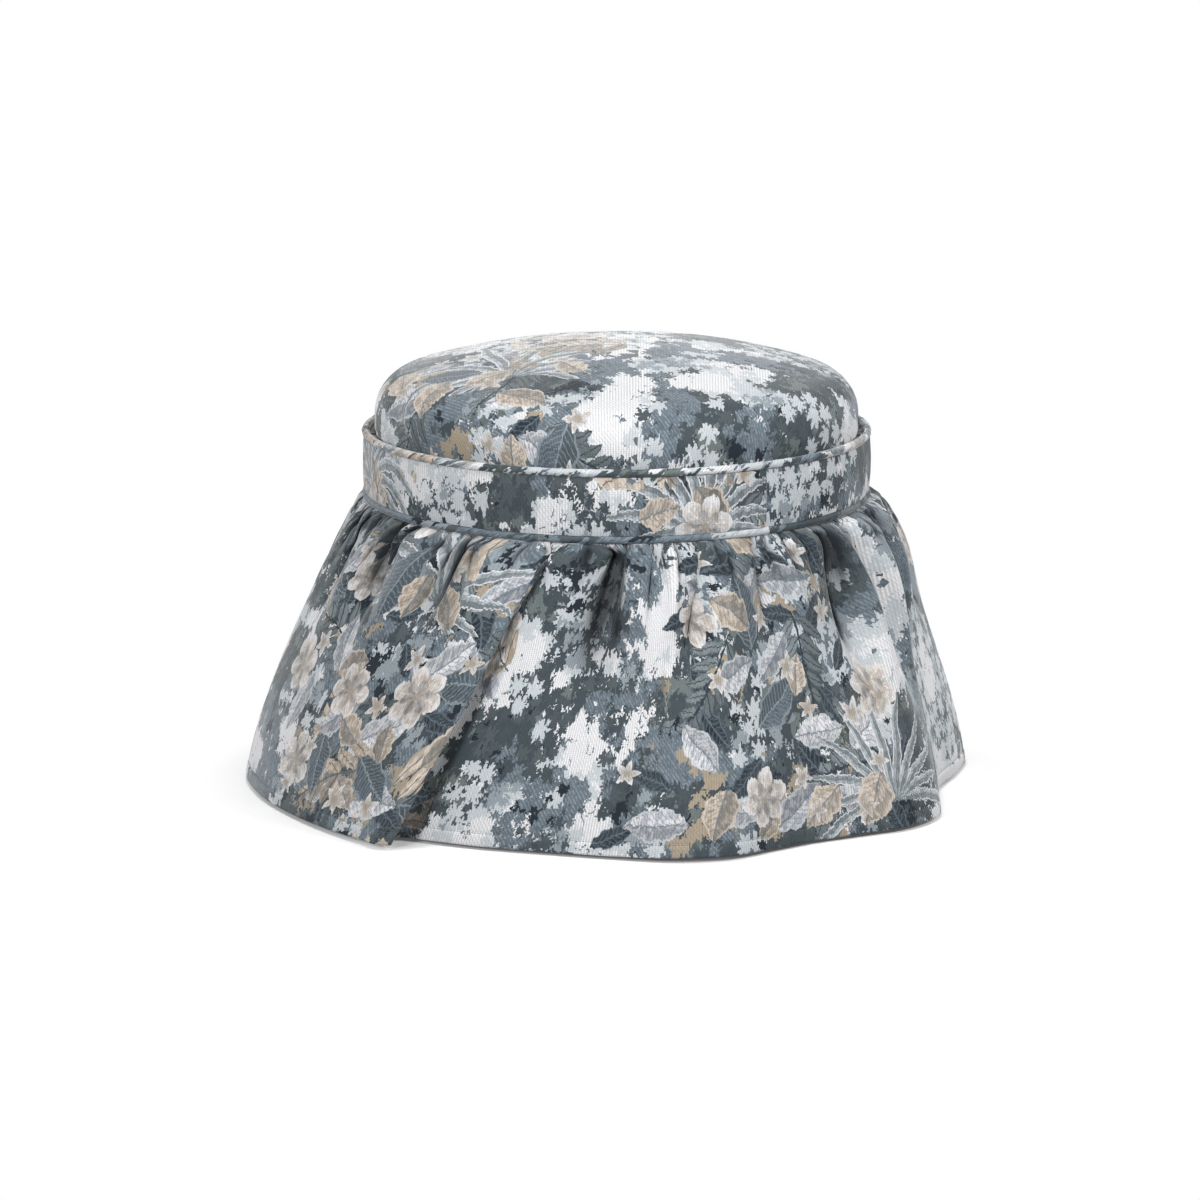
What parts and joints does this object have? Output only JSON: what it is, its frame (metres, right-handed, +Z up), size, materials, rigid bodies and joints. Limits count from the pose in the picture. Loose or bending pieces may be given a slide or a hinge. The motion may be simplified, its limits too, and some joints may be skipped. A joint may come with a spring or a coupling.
{
  "type": "storage ottoman",
  "caption": "Round storage ottoman with a domed padded lid that lifts off a lined drum, piped edges and a gathered skirt that reaches the floor.",
  "frame": {"origin": "on the floor, on the drum's axis", "axes": "+Z up, -Y to the front, +X to the right as seen from the front"},
  "size_m": [0.7025, 0.7161, 0.4281],
  "materials": {
    "cover_fabric": "woven jacquard with a foliage design",
    "lining_fabric": "plain woven lining",
    "under_fabric": "black non-woven cloth",
    "padding": "soft fibre wadding",
    "foam": "open-cell foam",
    "cord": "twisted cotton cord",
    "wood": "raw birch plywood",
    "glide_plastic": "moulded",
    "screw_steel": "zinc plated"
  },
  "bodies": {
    "base": {"base_panel": "wood", "rim_ring": "wood", "drum_wall": "wood", "frame_post_1": "wood", "frame_post_2": "wood", "frame_post_3": "wood", "frame_post_4": "wood", "frame_post_5": "wood", "frame_post_6": "wood", "rim_screws": "screw_steel", "base_screws": "screw_steel", "foot_screws": "screw_steel", "foot_1": "glide_plastic", "foot_2": "glide_plastic", "foot_3": "glide_plastic", "foot_4": "glide_plastic", "band_cover": "cover_fabric", "upper_welt_cover": "cover_fabric", "lower_welt_cover": "cover_fabric", "skirt_panel_front": "cover_fabric", "skirt_panel_right": "cover_fabric", "skirt_panel_back": "cover_fabric", "skirt_panel_left": "cover_fabric", "well_lining": "lining_fabric", "rim_cover": "lining_fabric", "well_floor_lining": "lining_fabric", "drum_under_cover": "under_fabric", "dust_cover": "under_fabric", "band_padding": "padding", "upper_welt_cord": "cord", "lower_welt_cord": "cord"},
    "lid": {"lid_board": "wood", "lid_foam": "foam", "lid_wadding": "padding", "lid_cover": "cover_fabric", "lid_lining": "lining_fabric", "lid_block_screws": "screw_steel", "lid_block_1": "wood", "lid_block_2": "wood", "lid_block_3": "wood", "lid_block_4": "wood"}
  },
  "joints": [
    {"name": "lid_lift", "type": "slide", "parent": "base", "child": "lid", "axis": [0, 0, 1], "range_m": [0, 0.25]}
  ]
}
